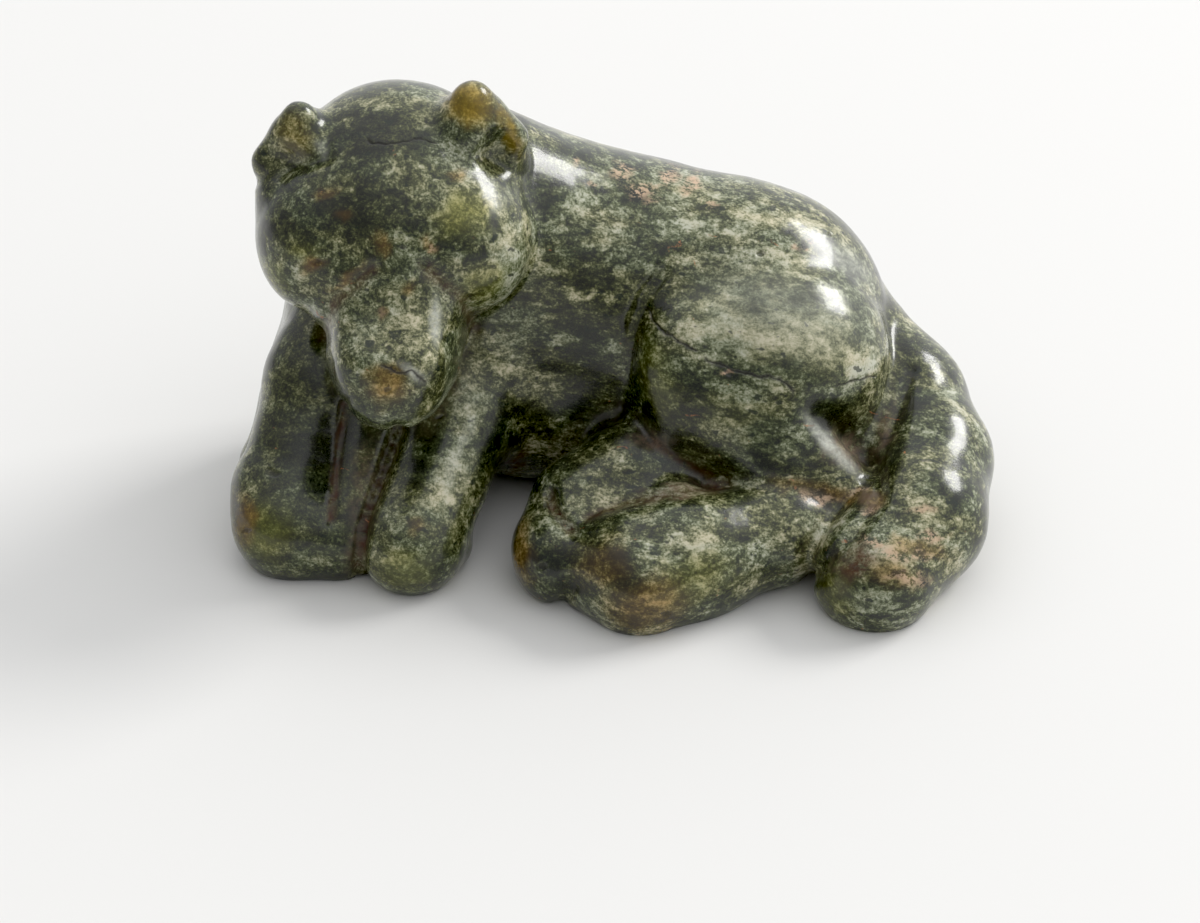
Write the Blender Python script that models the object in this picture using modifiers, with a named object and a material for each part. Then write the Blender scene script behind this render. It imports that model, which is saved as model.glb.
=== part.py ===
"""Soapstone bear carving: one solid, lying on its belly with its head raised.

The carving is blended from rounded masses (ball and limb shapes), scooped
and grooved, then cut flat underneath.  Lengths in the tables are millimetres.
X runs from head to rump, Y away from the face, Z up, the resting plane is Z = 0.
"""
import math
from concurrent.futures import ThreadPoolExecutor

import bmesh
import bpy
import numpy as np
from mathutils import Matrix, Vector

# ---------------------------------------------------------------- dimensions
MM = 0.001
COLLECTION = "soapstone_bear_carving"
PART = "bear_carving"
COARSE_VOXEL = 1.10          # first skin over the masses
FINE_VOXEL = 0.62            # second skin, before thinning out
TARGET_TRIANGLES = 8200      # faceted solid handed over

# --- shape:begin ---
HEAD_X = -21.6               # middle plane of the head
EAR_ROOT, EAR_CORNER_ROOT = 5.3, 4.6
PAW = 6.3                    # radius of the left fore paw
TOE = 6.7                    # radius of the broad hind toes
TAIL_TIP = 6.8               # radius of the tail at its tip
LINE_DEPTH, LINE_WIDTH = 0.75, 1.5   # carved lines, against the sizes in the table

# Marks are laid on along lines fanning out from one point in front of the
# carving, so that a mark is drawn in two lengths: across and up.
MARK_LEAN = math.radians(34.6)
MARK_REACH = 309.06
MARK_EYE = np.array([0.0, -MARK_REACH * math.cos(MARK_LEAN), MARK_REACH * math.sin(MARK_LEAN)])
MARK_UP = np.array([0.0, math.sin(MARK_LEAN), math.cos(MARK_LEAN)])
MARK_IN = np.array([0.0, math.cos(MARK_LEAN), -math.sin(MARK_LEAN)])

# carved lines: (name, path across/up, depth, half width, only nearer than this Y)
GROOVES = (
    ("web_left", ((-29.4, 6.5), (-29.9, 2.5), (-30.4, -2.1), (-31.0, -6.7)), 0.5, 0.6, -6),
    ("web_right", ((-23.2, 3.6), (-25.2, -1.9), (-26.9, -6.7), (-27.8, -12.4)), 0.9, 0.7, -6),
    ("far_toe", ((-5.6, -3.8), (-5.4, -5.2), (-4.7, -6.5), (-3.0, -8.1)), 1.1, 0.6, -10),
    ("between_feet", ((-1.6, -6.5), (2.3, -4.9), (8.0, -4.0), (13.8, -3.0)), 0.5, 0.8, -10),
    ("toe_notch", ((-3.4, -14.6), (-4.4, -16.0), (-5.2, -17.8)), 0.8, 1.1, -10),
    ("muzzle_left", ((-31.7, 14.2), (-30.7, 17.5), (-28.8, 19.8), (-26.2, 21.9)), 0.45, 1.0, -5),
    ("muzzle_right", ((-20.3, 22.4), (-17.7, 20.2), (-15.7, 18.2), (-14.4, 15.3)), 0.4, 1.0, -5),
    ("ear_fold_left", ((-39.5, 32.1), (-36.8, 33.1), (-34.2, 34.1), (-31.0, 34.9)), 0.3, 0.7, 0),
    ("ear_fold_right", ((-17.2, 35.6), (-13.8, 35.0), (-10.9, 34.0), (-9.0, 33.0)), 0.25, 0.7, 0),
    ("tail_root", ((35.6, 10.3), (34.0, 4.2), (32.2, -0.7), (32.2, -4.4), (29.0, -9.0), (24.4, -13.4)), 0.6, 0.9, 8),
    ("under_knee", ((6.3, 1.9), (10.3, -0.5), (14.9, -2.6)), 0.2, 0.7, -5),
    ("haunch", ((7.0, 21.4), (5.2, 19.1), (3.9, 15.7), (3.6, 11.7), (4.1, 7.1), (5.5, 3.0)), 0.5, 1.0, -3),
)

SHANK_VALLEY = ((25.0, 4.4), (28.2, 2.2), (30.4, -0.8))
VALLEY_DEPTH, VALLEY_WIDTH = 0.9, 2.0

FORMS = []                   # every mass, noted when the shape is asked for at one point


def blend(a, b, k):
    """Join two masses with a fillet about k wide."""
    h = np.maximum(k - np.abs(a - b), 0.0) / k
    return np.minimum(a, b) - h * h * k * 0.25


def carve(a, b, k):
    """Take mass b away from a, with the edge softened by k."""
    return -blend(-a, b, k)


def turn(rx, ry, rz):
    rx, ry, rz = (math.radians(v) for v in (rx, ry, rz))
    x = np.array([[1, 0, 0], [0, math.cos(rx), -math.sin(rx)], [0, math.sin(rx), math.cos(rx)]])
    y = np.array([[math.cos(ry), 0, math.sin(ry)], [0, 1, 0], [-math.sin(ry), 0, math.cos(ry)]])
    z = np.array([[math.cos(rz), -math.sin(rz), 0], [math.sin(rz), math.cos(rz), 0], [0, 0, 1]])
    return z @ y @ x


def ball(p, at, size, ry=0.0, rz=0.0, solid=True):
    """Distance to an ellipsoid."""
    m = turn(0, ry, rz)
    if solid and len(p) == 1:
        FORMS.append(("ball", at, size, m))
    q = (p - np.array(at, float)) @ m
    r = np.array(size, float)
    k0 = np.sqrt(((q / r) ** 2).sum(1))
    k1 = np.sqrt(((q / (r * r)) ** 2).sum(1)) + 1e-9
    return k0 * (k0 - 1.0) / k1


def taper(p, a, b, ra, rb):
    """Distance to a round limb running from a to b."""
    if len(p) == 1:
        FORMS.append(("taper", a, b, ra, rb))
    a = np.array(a, float)
    ba = np.array(b, float) - a
    t = np.clip(((p - a) @ ba) / (ba @ ba), 0, 1)
    return np.linalg.norm(p - a - t[:, None] * ba, axis=1) - (ra + (rb - ra) * t)


def limb(p, stations, k):
    """Distance to a limb through stations (x, y, z, radius)."""
    d = None
    for s, e in zip(stations[:-1], stations[1:]):
        f = taper(p, s[:3], e[:3], s[3], e[3])
        d = f if d is None else blend(d, f, k)
    return d


def mark_plane(p):
    """Across and up lengths of points, seen from the marking point."""
    q = p - MARK_EYE
    s = MARK_REACH / (q @ MARK_IN)
    return np.stack([q[:, 0] * s, (q @ MARK_UP) * s], 1)


def path_distance(q, path):
    d = None
    for a, b in zip(path[:-1], path[1:]):
        a = np.array(a)
        ba = np.array(b) - a
        t = np.clip(((q - a) @ ba) / (ba @ ba), 0, 1)
        e = np.linalg.norm(q - a - t[:, None] * ba, axis=1)
        d = e if d is None else np.minimum(d, e)
    return d


def head(p):
    x = HEAD_X
    d = blend(ball(p, (x + 0.2, -2.4, 36.0), (12.4, 12.0, 12.4)),
              ball(p, (x, -4.5, 34.2), (14.9, 9.5, 8.6)), 4)
    d = blend(d, ball(p, (x, -8.5, 35.5), (11.5, 8.0, 8.5)), 4)
    for s in (-1, 1):                                   # cheeks
        d = blend(d, ball(p, (x + s * 7.7, -9.6, 34.6), (6.3, 6.9, 7.4), ry=-s * 14), 2.5)
    d = blend(d, taper(p, (x, -5, 31.5), (x - 0.1, -14.5, 24.0), 10.4, 7.0), 2.5)
    muzzle = taper(p, (x, -11.5, 29.0), (x, -19.6, 24.2), 7.4, 5.6)
    for s in (-1, 1):                                   # flat bridge between two soft edges
        muzzle = blend(muzzle, taper(p, (x + s * 3.0, -12.5, 31.8), (x + s * 2.4, -20.8, 26.9), 4.0, 3.3), 1.5)
    d = blend(d, ball(p, (x, -14.3, 32.0), (7.0, 3.8, 4.4)), 3.0)
    return blend(d, muzzle, 2.6)


def ear(p, root, waist, tip, corner, corner_r, hollow, hollow_r, ry):
    d = blend(limb(p, (root + (EAR_ROOT,), waist, tip), 1.5),
              taper(p, root, corner, EAR_CORNER_ROOT, corner_r), 2.0)
    d = blend(d, taper(p, tip[:3], corner, tip[3], corner_r), 1.5)
    return carve(d, ball(p, hollow, hollow_r, ry=ry, solid=False), 1.4)


def stone(p):
    """Signed distance (about) to the skin of the carving, before the base cut."""
    # trunk
    d = ball(p, (16.3, 3, 15.8), (16.2, 15.0, 17.0))
    d = blend(d, ball(p, (2, 3.5, 17.8), (18, 13.2, 16.8)), 8)
    d = blend(d, ball(p, (-17, 3, 20), (13.0, 12.5, 18)), 8)
    d = blend(d, taper(p, (0, 5, 23.5), (-15, 2, 32.5), 11.5, 11.5), 6)
    d = blend(d, ball(p, (17, 9, 13), (13, 10, 12)), 4)
    d = blend(d, ball(p, (-4, 1.5, 9.2), (20, 11.5, 10)), 4)
    # fore legs, upper parts
    d = blend(d, limb(p, ((-26.0, 1, 21, 7.5), (-30.2, -6, 15, 5.8), (-32.2, -11, 10, 5.6)), 4), 4)
    d = blend(d, limb(p, ((-14.5, 2, 18, 8), (-15.6, -9, 13, 5.8), (-17.4, -15, 9, 5.4)), 4), 4)
    d = blend(d, head(p), 1.2)
    # paws
    paw = blend(limb(p, ((-32.2, -11, 10, 5.6), (-33.6, -17.8, 4.4, PAW)), 3),
                taper(p, (-33, -17.0, 4.0), (-28.5, -18.4, 3.6), PAW - 0.3, PAW - 0.7), 2)
    paw = blend(paw, ball(p, (-36.0, -14.5, 6.5), (4.0, 4.5, 4.5)), 2)
    d = blend(d, paw, 1.5)
    paw = blend(limb(p, ((-17.4, -15, 9, 5.4), (-20.2, -21.4, 4.4, PAW - 0.4)), 3),
                ball(p, (-16.2, -19.6, 2.6), (2.4, 2.6, 2.6)), 1)
    d = blend(d, paw, 1.5)
    # stone left between the fore legs, and the left elbow
    d = blend(d, taper(p, (-24, -5, 14), (-26.6, -16.0, 4.6), 6.0, 6.4), 1.2)
    d = blend(d, limb(p, ((-27, 4, 20, 8), (-30.5, 1.5, 9, 6.8), (-36.4, -5.2, 3.2, 4.2)), 4), 2.5)
    # haunch, shank and knee
    haunch = ball(p, (17.5, -4.5, 17), (14.2, 13.0, 12.5), ry=-8)
    haunch = blend(haunch, limb(p, ((12, -9, 13.5, 9.0), (20, -14.0, 10.2, 6.6), (24.8, -16.4, 8.6, 4.0), (28.4, -17.4, 6.8, 2.8)), 2), 3)
    haunch = blend(haunch, ball(p, (10.0, -9.0, 18.5), (7.0, 6.5, 8.6), ry=-10), 3)
    d = blend(d, haunch, 0.9)
    d = blend(d, taper(p, (25.6, -8.0, 10.4), (29.0, -12.0, 5.6), 5.6, 5.0), 3.0)
    d = blend(d, taper(p, (20.4, -15.7, 17.0), (27.7, -17.3, 9.6), 2.2, 2.0), 1.6)     # ridge of the shank
    # near hind foot, spreading from the heel to two broad toes
    foot = limb(p, ((28, -17.6, 5.4, 3.4), (19, -20.2, 5.0, 5.4), (10, -23.8, 4.4, 6.5), (4.2, -26.8, 3.9, TOE)), 3)
    foot = blend(foot, taper(p, (6, -21.5, 4.2), (-3.8, -23.2, 3.7), 6.2, 5.5), 3.5)
    d = blend(d, foot, 1.0)
    d = blend(d, limb(p, ((14, -11, 7.5, 5.5), (3, -14.8, 8.2, 5.2), (-2.4, -17.8, 6.9, 4.4), (-4.3, -21.2, 4.2, 4.6)), 3), 2.0)
    # tail curling forward to the heel
    tail = limb(p, ((27, 5, 15.5, 6.6), (33.6, -3, 10.2, 6.8), (35.6, -11, 7.7, 6.9), (34.2, -19.3, 6.0, 6.9), (29.2, -26.0, 3.7, TAIL_TIP)), 3)
    d = blend(d, tail, 1.2)
    d = blend(d, taper(p, (19, -16, 3), (26, -18, 3), 4.6, 4.6), 1.2)
    # ears
    d = blend(d, ear(p, (-12.9, -3.6, 41.6), (-13.3, -4.8, 45.4, 4.1), (-13.1, -5.4, 48.9, 1.6),
                     (-9.2, -5.2, 44.4), 1.3, (-10.3, -9.4, 43.9), (2.3, 3.3, 3.5), 18), 1.3)
    d = blend(d, ear(p, (-30.4, -3.6, 40.6), (-30.8, -4.8, 43.8, 3.6), (-31.1, -5.6, 47.1, 1.25),
                     (-34.9, -5.6, 42.0), 1.0, (-32.4, -10.3, 42.4), (2.6, 3.4, 3.8), -30), 1.3)
    d = blend(d, ball(p, (-33.6, -5.0, 38.6), (2.6, 4.0, 4.0)), 1.5)
    q = mark_plane(p)
    # shallow valley behind the ridge of the shank
    valley = np.exp(-(path_distance(q, SHANK_VALLEY) / VALLEY_WIDTH) ** 2)
    d = d + VALLEY_DEPTH * valley / (1.0 + np.exp(np.clip((p[:, 1] + 4) * 1.5, -30, 30)))
    for _name, path, depth, half, near in GROOVES:
        fade = 1.0 / (1.0 + np.exp(np.clip((p[:, 1] - near) * 1.5, -30, 30)))
        d = d + LINE_DEPTH * depth * np.exp(-(path_distance(q, path) / (LINE_WIDTH * half)) ** 2) * fade
    return d


def measure(p, chunk=8000):
    """Signed distances of many points, worked out in chunks side by side."""
    if len(p) < 2:
        return stone(p)
    with ThreadPoolExecutor(4) as pool:
        return np.concatenate(list(pool.map(stone, np.array_split(p, max(len(p) // chunk, 1)))))


def slope(p, e=0.05):
    """Value and gradient of the shape at points."""
    v = measure(p)
    g = np.empty_like(p)
    for i in range(3):
        o = np.zeros(3)
        o[i] = e
        g[:, i] = (measure(p + o) - v) / e
    return v, g


def settle(p, edges, rounds, relax):
    """Draw points onto the shape and even them out along it."""
    count = np.bincount(edges.ravel(), minlength=len(p)).astype(float)[:, None]
    count = np.maximum(count, 1.0)
    for i in range(rounds):
        last = i == rounds - 1
        if last:
            v = measure(p)           # the slope hardly changes on the last small step
        else:
            v, g = slope(p)
        gg = (g * g).sum(1, keepdims=True) + 1e-6
        step = -v[:, None] * g / np.maximum(gg, 0.15)
        size = np.linalg.norm(step, axis=1, keepdims=True)
        step *= np.minimum(1.0, 0.6 / np.maximum(size, 1e-9))
        p = p + step
        if relax and i < rounds - 2:
            mean = np.zeros_like(p)
            for k in range(3):
                mean[:, k] = (np.bincount(edges[:, 0], p[edges[:, 1], k], len(p))
                              + np.bincount(edges[:, 1], p[edges[:, 0], k], len(p)))
            move = mean / count - p
            n = g / np.sqrt(gg)
            move -= (move * n).sum(1, keepdims=True) * n
            p = p + relax * move
    return p
# --- shape:end ---


def clear_scene():
    for obj in list(bpy.data.objects):
        bpy.data.objects.remove(obj, do_unlink=True)


def collection(name):
    col = bpy.data.collections.new(name)
    bpy.context.scene.collection.children.link(col)
    return col


def masses_mesh():
    """Balls and tapered limbs of the table as closed shells in one mesh."""
    FORMS.clear()
    stone(np.zeros((1, 3)))
    bm = bmesh.new()
    for form in list(FORMS):
        if form[0] == "ball":
            _kind, at, size, m = form
            place = (Matrix.Translation(Vector(at)) @ Matrix([list(r) for r in m]).to_4x4()
                     @ Matrix.Diagonal((size[0], size[1], size[2], 1.0)))
            bmesh.ops.create_uvsphere(bm, u_segments=28, v_segments=18, radius=1.0, matrix=place)
            continue
        _kind, a, b, ra, rb = form
        a, b = Vector(a), Vector(b)
        run = b - a
        spin = run.to_track_quat("Z", "Y").to_matrix().to_4x4()
        bmesh.ops.create_cone(bm, cap_ends=True, segments=24, radius1=ra, radius2=rb, depth=run.length,
                              matrix=Matrix.Translation((a + b) / 2) @ spin)
        for end, r in ((a, ra), (b, rb)):
            bmesh.ops.create_uvsphere(bm, u_segments=24, v_segments=14, radius=r, matrix=Matrix.Translation(end))
    mesh = bpy.data.meshes.new("masses")
    bm.to_mesh(mesh)
    bm.free()
    return mesh


def reskin(obj, voxel):
    """Replace the mesh of obj by an even skin of squares."""
    mod = obj.modifiers.new("skin", "REMESH")
    mod.mode = "VOXEL"
    mod.voxel_size = voxel
    mod.adaptivity = 0.0
    deps = bpy.context.evaluated_depsgraph_get()
    mesh = bpy.data.meshes.new_from_object(obj.evaluated_get(deps))
    obj.modifiers.remove(mod)
    old = obj.data
    obj.data = mesh
    bpy.data.meshes.remove(old)


def draw_in(obj, rounds, relax):
    mesh = obj.data
    p = np.empty(len(mesh.vertices) * 3)
    mesh.vertices.foreach_get("co", p)
    e = np.empty(len(mesh.edges) * 2, dtype=np.int32)
    mesh.edges.foreach_get("vertices", e)
    p = settle(p.reshape(-1, 3), e.reshape(-1, 2), rounds, relax)
    mesh.vertices.foreach_set("co", p.ravel())
    mesh.update()


def soapstone():
    mat = bpy.data.materials.new("soapstone")
    mat.use_nodes = True
    shader = mat.node_tree.nodes["Principled BSDF"]
    shader.inputs["Base Color"].default_value = (0.060, 0.075, 0.045, 1.0)
    shader.inputs["Roughness"].default_value = 0.28
    return mat


def main():
    clear_scene()
    parts = collection(COLLECTION)
    tools = collection("cutters")

    obj = bpy.data.objects.new(PART, masses_mesh())
    parts.objects.link(obj)
    reskin(obj, COARSE_VOXEL)
    draw_in(obj, 10, 0.35)
    reskin(obj, FINE_VOXEL)
    draw_in(obj, 6, 0.25)

    # metres, with the origin under the middle of the carving
    mesh = obj.data
    p = np.empty(len(mesh.vertices) * 3)
    mesh.vertices.foreach_get("co", p)
    p = p.reshape(-1, 3)
    above = p[p[:, 2] > 0]
    mid = (above.min(0) + above.max(0)) / 2
    p = (p - np.array([mid[0], mid[1], 0.0])) * MM
    mesh.vertices.foreach_set("co", p.ravel())
    mesh.update()
    mesh.materials.clear()
    mesh.materials.append(soapstone())

    thin = obj.modifiers.new("thin_out", "DECIMATE")
    thin.decimate_type = "COLLAPSE"
    thin.use_collapse_triangulate = True
    thin.ratio = TARGET_TRIANGLES / (2 * len(mesh.polygons))
    thin.show_render = thin.show_viewport

    # one flat base: everything under the resting plane is cut away
    bm = bmesh.new()
    bmesh.ops.create_cube(bm, size=1.0, matrix=Matrix.Translation((0, 0, -0.02)) @ Matrix.Diagonal((0.16, 0.16, 0.04, 1)))
    cut_mesh = bpy.data.meshes.new("base_cutter")
    bm.to_mesh(cut_mesh)
    bm.free()
    cutter = bpy.data.objects.new("base_cutter", cut_mesh)
    tools.objects.link(cutter)
    cutter.hide_render = True
    cutter.display_type = "WIRE"
    cut = obj.modifiers.new("flat_base", "BOOLEAN")
    cut.operation = "DIFFERENCE"
    cut.solver = "EXACT"
    cut.object = cutter
    cut.show_render = cut.show_viewport


main()
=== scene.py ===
"""Soapstone bear carving: fine surface, polished stone and a plain studio."""

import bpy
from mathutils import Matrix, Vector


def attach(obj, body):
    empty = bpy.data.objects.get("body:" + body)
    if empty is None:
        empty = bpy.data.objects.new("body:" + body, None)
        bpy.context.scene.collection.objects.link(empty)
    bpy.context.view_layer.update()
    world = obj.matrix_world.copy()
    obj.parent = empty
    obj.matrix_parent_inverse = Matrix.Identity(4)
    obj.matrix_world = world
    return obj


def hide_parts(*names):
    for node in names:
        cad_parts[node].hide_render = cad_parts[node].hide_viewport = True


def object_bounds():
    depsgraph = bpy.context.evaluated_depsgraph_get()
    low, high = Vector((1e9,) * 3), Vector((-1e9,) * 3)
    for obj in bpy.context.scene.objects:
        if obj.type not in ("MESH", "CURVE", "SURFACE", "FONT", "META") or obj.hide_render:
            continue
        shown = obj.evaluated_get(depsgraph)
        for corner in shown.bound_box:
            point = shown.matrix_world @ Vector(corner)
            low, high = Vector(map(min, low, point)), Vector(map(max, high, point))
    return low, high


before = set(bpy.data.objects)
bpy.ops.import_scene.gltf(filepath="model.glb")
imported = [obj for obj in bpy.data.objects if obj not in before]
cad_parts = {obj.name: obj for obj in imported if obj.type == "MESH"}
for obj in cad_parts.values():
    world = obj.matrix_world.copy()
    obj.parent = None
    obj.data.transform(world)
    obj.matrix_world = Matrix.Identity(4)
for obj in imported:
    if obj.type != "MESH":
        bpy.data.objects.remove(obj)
CAD_BOX = [list(c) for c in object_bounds()]

import math
from concurrent.futures import ThreadPoolExecutor

import bmesh
import bpy
import numpy as np
from mathutils import Matrix, Vector, noise

MM = 0.001
COARSE_VOXEL = 1.15
FINE_VOXEL = 0.46
WINDOW_WATTS = 27.5
ROOM_DIM, ROOM_BRIGHT = 0.38, 1.24
BLACK_POINT = 0.010

HEAD_X = -21.6               # middle plane of the head
EAR_ROOT, EAR_CORNER_ROOT = 5.3, 4.6
PAW = 6.3                    # radius of the left fore paw
TOE = 6.7                    # radius of the broad hind toes
TAIL_TIP = 6.8               # radius of the tail at its tip
LINE_DEPTH, LINE_WIDTH = 1.0, 1.0   # carved lines, against the sizes in the table

# Marks are laid on along lines fanning out from one point in front of the
# carving, so that a mark is drawn in two lengths: across and up.
MARK_LEAN = math.radians(34.6)
MARK_REACH = 309.06
MARK_EYE = np.array([0.0, -MARK_REACH * math.cos(MARK_LEAN), MARK_REACH * math.sin(MARK_LEAN)])
MARK_UP = np.array([0.0, math.sin(MARK_LEAN), math.cos(MARK_LEAN)])
MARK_IN = np.array([0.0, math.cos(MARK_LEAN), -math.sin(MARK_LEAN)])

# carved lines: (name, path across/up, depth, half width, only nearer than this Y)
GROOVES = (
    ("web_left", ((-29.4, 6.5), (-29.9, 2.5), (-30.4, -2.1), (-31.0, -6.7)), 0.5, 0.6, -6),
    ("web_right", ((-23.2, 3.6), (-25.2, -1.9), (-26.9, -6.7), (-27.8, -12.4)), 0.9, 0.7, -6),
    ("far_toe", ((-5.6, -3.8), (-5.4, -5.2), (-4.7, -6.5), (-3.0, -8.1)), 1.1, 0.6, -10),
    ("between_feet", ((-1.6, -6.5), (2.3, -4.9), (8.0, -4.0), (13.8, -3.0)), 0.5, 0.8, -10),
    ("toe_notch", ((-3.4, -14.6), (-4.4, -16.0), (-5.2, -17.8)), 0.8, 1.1, -10),
    ("muzzle_left", ((-31.7, 14.2), (-30.7, 17.5), (-28.8, 19.8), (-26.2, 21.9)), 0.45, 1.0, -5),
    ("muzzle_right", ((-20.3, 22.4), (-17.7, 20.2), (-15.7, 18.2), (-14.4, 15.3)), 0.4, 1.0, -5),
    ("ear_fold_left", ((-39.5, 32.1), (-36.8, 33.1), (-34.2, 34.1), (-31.0, 34.9)), 0.3, 0.7, 0),
    ("ear_fold_right", ((-17.2, 35.6), (-13.8, 35.0), (-10.9, 34.0), (-9.0, 33.0)), 0.25, 0.7, 0),
    ("tail_root", ((35.6, 10.3), (34.0, 4.2), (32.2, -0.7), (32.2, -4.4), (29.0, -9.0), (24.4, -13.4)), 0.6, 0.9, 8),
    ("under_knee", ((6.3, 1.9), (10.3, -0.5), (14.9, -2.6)), 0.2, 0.7, -5),
    ("haunch", ((7.0, 21.4), (5.2, 19.1), (3.9, 15.7), (3.6, 11.7), (4.1, 7.1), (5.5, 3.0)), 0.5, 1.0, -3),
)

SHANK_VALLEY = ((25.0, 4.4), (28.2, 2.2), (30.4, -0.8))
VALLEY_DEPTH, VALLEY_WIDTH = 0.9, 2.0

FORMS = []                   # every mass, noted when the shape is asked for at one point


def blend(a, b, k):
    """Join two masses with a fillet about k wide."""
    h = np.maximum(k - np.abs(a - b), 0.0) / k
    return np.minimum(a, b) - h * h * k * 0.25


def carve(a, b, k):
    """Take mass b away from a, with the edge softened by k."""
    return -blend(-a, b, k)


def turn(rx, ry, rz):
    rx, ry, rz = (math.radians(v) for v in (rx, ry, rz))
    x = np.array([[1, 0, 0], [0, math.cos(rx), -math.sin(rx)], [0, math.sin(rx), math.cos(rx)]])
    y = np.array([[math.cos(ry), 0, math.sin(ry)], [0, 1, 0], [-math.sin(ry), 0, math.cos(ry)]])
    z = np.array([[math.cos(rz), -math.sin(rz), 0], [math.sin(rz), math.cos(rz), 0], [0, 0, 1]])
    return z @ y @ x


def ball(p, at, size, ry=0.0, rz=0.0, solid=True):
    """Distance to an ellipsoid."""
    m = turn(0, ry, rz)
    if solid and len(p) == 1:
        FORMS.append(("ball", at, size, m))
    q = (p - np.array(at, float)) @ m
    r = np.array(size, float)
    k0 = np.sqrt(((q / r) ** 2).sum(1))
    k1 = np.sqrt(((q / (r * r)) ** 2).sum(1)) + 1e-9
    return k0 * (k0 - 1.0) / k1


def taper(p, a, b, ra, rb):
    """Distance to a round limb running from a to b."""
    if len(p) == 1:
        FORMS.append(("taper", a, b, ra, rb))
    a = np.array(a, float)
    ba = np.array(b, float) - a
    t = np.clip(((p - a) @ ba) / (ba @ ba), 0, 1)
    return np.linalg.norm(p - a - t[:, None] * ba, axis=1) - (ra + (rb - ra) * t)


def limb(p, stations, k):
    """Distance to a limb through stations (x, y, z, radius)."""
    d = None
    for s, e in zip(stations[:-1], stations[1:]):
        f = taper(p, s[:3], e[:3], s[3], e[3])
        d = f if d is None else blend(d, f, k)
    return d


def mark_plane(p):
    """Across and up lengths of points, seen from the marking point."""
    q = p - MARK_EYE
    s = MARK_REACH / (q @ MARK_IN)
    return np.stack([q[:, 0] * s, (q @ MARK_UP) * s], 1)


def path_distance(q, path):
    d = None
    for a, b in zip(path[:-1], path[1:]):
        a = np.array(a)
        ba = np.array(b) - a
        t = np.clip(((q - a) @ ba) / (ba @ ba), 0, 1)
        e = np.linalg.norm(q - a - t[:, None] * ba, axis=1)
        d = e if d is None else np.minimum(d, e)
    return d


def head(p):
    x = HEAD_X
    d = blend(ball(p, (x + 0.2, -2.4, 36.0), (12.4, 12.0, 12.4)),
              ball(p, (x, -4.5, 34.2), (14.9, 9.5, 8.6)), 4)
    d = blend(d, ball(p, (x, -8.5, 35.5), (11.5, 8.0, 8.5)), 4)
    for s in (-1, 1):                                   # cheeks
        d = blend(d, ball(p, (x + s * 7.7, -9.6, 34.6), (6.3, 6.9, 7.4), ry=-s * 14), 2.5)
    d = blend(d, taper(p, (x, -5, 31.5), (x - 0.1, -14.5, 24.0), 10.4, 7.0), 2.5)
    muzzle = taper(p, (x, -11.5, 29.0), (x, -19.6, 24.2), 7.4, 5.6)
    for s in (-1, 1):                                   # flat bridge between two soft edges
        muzzle = blend(muzzle, taper(p, (x + s * 3.0, -12.5, 31.8), (x + s * 2.4, -20.8, 26.9), 4.0, 3.3), 1.5)
    d = blend(d, ball(p, (x, -14.3, 32.0), (7.0, 3.8, 4.4)), 3.0)
    return blend(d, muzzle, 2.6)


def ear(p, root, waist, tip, corner, corner_r, hollow, hollow_r, ry):
    d = blend(limb(p, (root + (EAR_ROOT,), waist, tip), 1.5),
              taper(p, root, corner, EAR_CORNER_ROOT, corner_r), 2.0)
    d = blend(d, taper(p, tip[:3], corner, tip[3], corner_r), 1.5)
    return carve(d, ball(p, hollow, hollow_r, ry=ry, solid=False), 1.4)


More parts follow.
